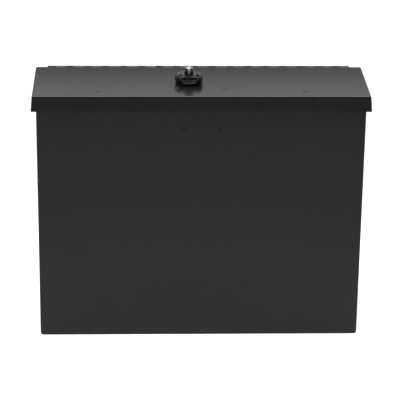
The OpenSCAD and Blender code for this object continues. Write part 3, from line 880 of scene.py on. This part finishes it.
def makePlug(sizes):
    lidTop = boxOf("lid_sheet")[1].z
    tailLow = boxOf("key_plug")[0].z - lidTop
    tail, shoulder, body = sizes["tail"], sizes["shoulder"], sizes["body"]
    r, top, collarLow, soft = sizes["collar"], sizes["top"], sizes["collarLow"], sizes["rimRound"]
    profile = [(0, tailLow), (tail, tailLow), (tail, shoulder), (body, shoulder), (body, collarLow),
               (r - 0.25, collarLow), (r, collarLow + 0.3)]
    profile += [(r - soft + soft * math.cos(math.radians(a)), top - soft + soft * math.sin(math.radians(a)))
                for a in range(0, 91, 15)]
    dish = top - sizes["dish"]
    profile += [(sizes["dishOuter"], top), (sizes["dishInner"], dish), (0, dish)]
    plug = objectOf("plugBody", lathe(profile, segments=64))
    keyway = (sizes["keyLength"], sizes["keyWidth"], 2 * sizes["keyDepth"])
    cutBy(plug, [blockCutter("keyCutter", keyway, (0, 0, top))])
    axis = joints["lock_turn"]
    plug.data.transform(Matrix.Translation((axis.x, axis.y, lidTop)))
    finishPiece("keyPlug", plug, "lock", "chrome", ["key_plug"], edge=0.12, crease=35)


# linings and fixings inside the case and under the lid

def leftOf(way):
    return Vector((-way.y, way.x))


def bentSection(corners, thickness, radius):  # a folded strip as (one side, other side) points in Y and Z
    corners = [Vector(corner) for corner in corners]
    pairs = []

    def addPair(point, heading):
        side = leftOf(heading) * (thickness / 2)
        pairs.append((point + side, point - side))

    addPair(corners[0], (corners[1] - corners[0]).normalized())
    for before, corner, after in zip(corners, corners[1:], corners[2:]):
        arriving, leaving = (corner - before).normalized(), (after - corner).normalized()
        turn = math.atan2(arriving.cross(leaving), arriving.dot(leaving))
        way = math.copysign(radius, turn)
        centre = corner - arriving * (radius * math.tan(abs(turn) / 2)) + leftOf(arriving) * way
        for angle in spread(0, turn, 6):
            heading = Matrix.Rotation(angle, 2) @ arriving
            addPair(centre - leftOf(heading) * way, heading)
    addPair(corners[-1], (corners[-1] - corners[-2]).normalized())
    return pairs


def foldedStrip(section, left, right, pitch=16):  # the section drawn out along X
    place = lambda x, row: tuple(Vector((x, y, z)) for y, z in section[row])
    return gridSheet(gridLines(left, right, pitch), list(range(len(section))), place)


def withEdges(low, high, pitch, radius):  # grid lines packed closer where the edges round off
    inset = [radius * k for k in (0.08, 0.25, 0.55, 1.0)]
    lines = gridLines(low + radius, high - radius, pitch)
    return sorted(set([low, high] + [low + d for d in inset] + [high - d for d in inset] + lines))


padSizes = dict(thick=5.0, edge=2.2, pitch=9, puff=0.3)


def makePads(sizes):  # foam glued to both long walls, soft at its edges and a little uneven
    low, high = boxOf("battery_pads")
    xs = withEdges(low.x, high.x, sizes["pitch"], sizes["edge"])
    zs = withEdges(low.z, high.z, sizes["pitch"], sizes["edge"])
    pads = []
    for wall, out in ((low.y, 1), (high.y, -1)):
        def place(x, z):
            way = min(x - low.x, high.x - x, z - low.z, high.z - z)
            sink = roundOff(way, sizes["edge"]) + unevenness(x, z, 9.0 + out, 45, sizes["puff"])
            sink = min(sink, sizes["thick"] - 0.6)
            return Vector((x, wall + out * (sizes["thick"] - sink), z)), Vector((x, wall, z))

        pads.append(gridSheet(xs, zs, place))
    finishPiece("batteryPads", joinAll(pads), "case", "foam", ["battery_pads"])


gasketSizes = dict(width=9.0, edge=1.5, joint=0.3, leaf=1.2, pitch=9)


def makeGasket(sizes):  # four foam strips butted into a loop; the back one runs under the hinge leaf
    low, high = boxOf("lid_gasket")
    width, inner = sizes["width"], high.x - sizes["width"] - sizes["joint"]
    strips = [((-inner, low.y), (inner, low.y + width), high.z),
              ((-inner, high.y - width), (inner, high.y), high.z - sizes["leaf"]),
              ((low.x, low.y), (low.x + width, high.y), high.z),
              ((high.x - width, low.y), (high.x, high.y), high.z)]
    made = []
    for (x0, y0), (x1, y1), top in strips:
        alongX = x1 - x0 > y1 - y0

        def place(x, y):
            way = min(y - y0, y1 - y) if alongX else min(x - x0, x1 - x)
            return (Vector((x, y, low.z + roundOff(way, sizes["edge"]) + unevenness(x, y, 4.4, 30, 0.15))),
                    Vector((x, y, top)))

        xs = gridLines(x0, x1, sizes["pitch"]) if alongX else withEdges(x0, x1, 1.5, sizes["edge"])
        ys = withEdges(y0, y1, 1.5, sizes["edge"]) if alongX else gridLines(y0, y1, sizes["pitch"])
        made.append(gridSheet(xs, ys, place))
    finishPiece("lidGasket", joinAll(made), "lid", "foam", ["lid_gasket"])


matSizes = dict(rib=3.6, ribDepth=0.9, step=0.9, access=12.0, edge=1.0)


def makeMat(sizes):  # ribbed rubber mat with access holes over the bolts and the drains
    low, high = boxOf("floor_mat")
    midY = (low.y + high.y) / 2
    holes = floorHoles(midY, sizes["access"], caseSizes["drainR"])
    xs = gridLines(low.x, high.x, 18, *[(x, r * holeMargin, 10) for x, y, r in holes if y >= midY])
    spots = [(y, r * holeMargin) for x, y, r in holes if x > 0]
    ys = gridLines(low.y, high.y, sizes["step"],
                   *[(y, reach, round(2 * reach / sizes["step"])) for y, reach in spots])

    def place(x, y):
        groove = sizes["ribDepth"] * (0.5 - 0.5 * math.cos(2 * math.pi * (y - midY) / sizes["rib"]))
        sink = groove + roundOff(min(x - low.x, high.x - x, y - low.y, high.y - y), sizes["edge"])
        return Vector((x, y, high.z - min(sink, 2.0))), Vector((x, y, low.z))

    finishPiece("floorMat", gridSheet(xs, ys, place, None, holes), "case", "rubber", ["floor_mat"], crease=60)


grommetSizes = dict(bore=6.0, neck=10.9, halfSheet=0.8, lip=1.7)


def makeGrommets(sizes):  # moulded rings with rounded flanges, a groove for the sheet and a soft bore
    low, high = boxOf("cable_grommets")
    outer, half = (high.z - low.z) / 2, (high.y - low.y) / 2
    side = [(outer, sizes["halfSheet"]), (outer, half - sizes["lip"]), (outer - 0.5, half - 0.9),
            (outer - 1.6, half - 0.4), (sizes["bore"] + 1.6, half), (sizes["bore"] + 0.4, half - 0.35),
            (sizes["bore"], half - 1.2)]
    profile = [(sizes["neck"], sizes["halfSheet"])] + side + [(r, -h) for r, h in reversed(side)]
    profile.append((sizes["neck"], -sizes["halfSheet"]))
    turn = Matrix.Rotation(math.pi / 2, 4, "X")
    rings = [lathe(profile, (x, (low.y + high.y) / 2, (low.z + high.z) / 2), turn, 56)
             for x in (low.x + outer, high.x - outer)]
    finishPiece("cableGrommets", joinAll(rings), "case", "rubber", ["cable_grommets"], crease=50)


plateSizes = dict(stiffener=1.5, bracket=2.0, lip=3.0, bend=1.8, neckHole=lidSizes["neckHole"])


def makePlates(sizes):  # folded stiffener and striker bracket, and the flat plate under the lock
    low, high = boxOf("lid_stiffener")
    half = sizes["stiffener"] / 2
    angle = [(low.y, high.z - half), (high.y - half, high.z - half), (high.y - half, low.z)]
    finishPiece("lidStiffener", foldedStrip(bentSection(angle, 2 * half, sizes["bend"]), low.x, high.x),
                "lid", "coat", ["lid_stiffener"], edge=0.2)
    low, high = boxOf("striker_bracket")
    half, lip = sizes["bracket"] / 2, sizes["lip"]
    skew = 2 * half * math.sqrt(0.5)
    tabZ, tabY = high.z - lip - skew, high.y - lip
    zed = [(low.y + half, low.z), (low.y + half, tabZ + half),
           (tabY - half * math.tan(math.pi / 8), tabZ + half), (high.y - skew / 2, tabZ + lip + skew / 2)]
    finishPiece("strikerBracket", foldedStrip(bentSection(zed, 2 * half, sizes["bend"]), low.x, high.x),
                "case", "coat", ["striker_bracket"], edge=0.25)
    low, high = boxOf("lock_doubler")
    axis = joints["lock_turn"]
    reach = sizes["neckHole"] * holeMargin
    xs = gridLines(low.x, high.x, 8, (axis.x, reach, 12))
    ys = gridLines(low.y, high.y, 8, (axis.y, reach, 12))
    place = lambda x, y: (Vector((x, y, high.z)), Vector((x, y, low.z)))
    finishPiece("lockDoubler", gridSheet(xs, ys, place, None, [(axis.x, axis.y, sizes["neckHole"])]),
                "lid", "coat", ["lock_doubler"], edge=0.25)


sealSizes = dict(bore=9.1, soft=0.4)


def makeSeal(sizes):  # rubber washer, its outer edge squeezed out a little
    low, high = boxOf("lock_seal")
    axis, outer, thick = joints["lock_turn"], (high.x - low.x) / 2, high.z - low.z
    bore, soft = sizes["bore"], outer - sizes["soft"]
    profile = [(bore, 0), (soft, 0), (outer, thick * 0.3), (outer, thick * 0.7), (soft, thick), (bore, thick)]
    finishPiece("lockSeal", lathe(profile, (axis.x, axis.y, low.z), None, 72), "lid", "rubber", ["lock_seal"])


nutSizes = dict(bore=9.05, chamfer=0.9)


def makeNut(sizes):  # thin hexagon nut with its corners chamfered off
    low, high = boxOf("lock_nut")
    flats, height = (high.y - low.y) / 2, high.z - low.z
    corner = flats / math.cos(math.pi / 6)
    nut = objectOf("nutBody", rod(corner, 0, height, 6))
    chamfer = sizes["chamfer"]
    wide = corner + 0.1
    profile = [(0, 0), (flats, 0), (wide, chamfer), (wide, height - chamfer), (flats, height), (0, height)]
    turned = lathe(profile, segments=72)
    cutBy(nut, [objectOf("chamferCutter", turned)], "INTERSECT")
    cutBy(nut, [objectOf("nutBore", rod(sizes["bore"], -1, height + 1, 64))])
    nut.data.transform(Matrix.Translation((joints["lock_turn"].x, joints["lock_turn"].y, low.z)))
    finishPiece("lockNut", nut, "lid", "zinc", ["lock_nut"], edge=0.12, crease=30)


screwSizes = dict(head=3.6, headHeight=2.4, shank=2.0, slot=(4.4, 1.0, 1.2))


def makeScrew(sizes):  # domed head with a cross slot
    low, high = boxOf("cam_screw")
    r, deep, length = sizes["head"], sizes["headHeight"], high.z - low.z
    profile = [(0, 0), (r * 0.5, 0.08), (r * 0.8, 0.45), (r * 0.96, 1.05), (r, 1.6), (r, deep),
               (sizes["shank"], deep), (sizes["shank"], length), (0, length)]
    screw = objectOf("screwBody", lathe(profile, segments=40))
    long, wide, sunk = sizes["slot"]
    cutters = [blockCutter("slotCutter", (long, wide, 2 * sunk), turn=turn) for turn in (0, math.pi / 2)]
    cutBy(screw, cutters)
    screw.data.transform(Matrix.Translation((joints["lock_turn"].x, joints["lock_turn"].y, low.z)))
    finishPiece("camScrew", screw, "lock", "zinc", ["cam_screw"], crease=35)


makeCamera(cameraLook)
makeFloor(floorLook)
makeLights(softboxes)
makeRoom(roomLook)
bpy.context.scene.view_settings.view_transform = "Standard"
print("camera, floor and light made")

makeLid(lidSizes)
print("lid made")
makeCase(caseSizes)
print("case made")
makeBodyLeaf(hingeSizes)
makeLidLeaf(hingeSizes)
makePin()
print("hinge made")
makeRivets("strikerRivets", "striker_rivets", "case", rivetSizes["striker"],
           Matrix.Rotation(math.pi / 2, 4, "X"))
makeRivets("stiffenerRivets", "stiffener_rivets", "lid", rivetSizes["stiffener"])
makeRivets("doublerRivets", "doubler_rivets", "lid", rivetSizes["doubler"])
print("rivets made")
makeHousing(lockSizes)
makeNeck(lockSizes)
makePlug(plugSizes)
print("lock made")

makePads(padSizes)
makeGasket(gasketSizes)
makeMat(matSizes)
makeGrommets(grommetSizes)
makePlates(plateSizes)
makeSeal(sealSizes)
makeNut(nutSizes)
makeScrew(screwSizes)
print("inner pieces made")

carried = dict(lock_cam="zinc", cam_washer="zinc")
for node, finish in carried.items():
    part = frame["nodes"][node]
    part.data.materials.clear()
    part.data.materials.append(finishes[finish])
print("carried parts finished")
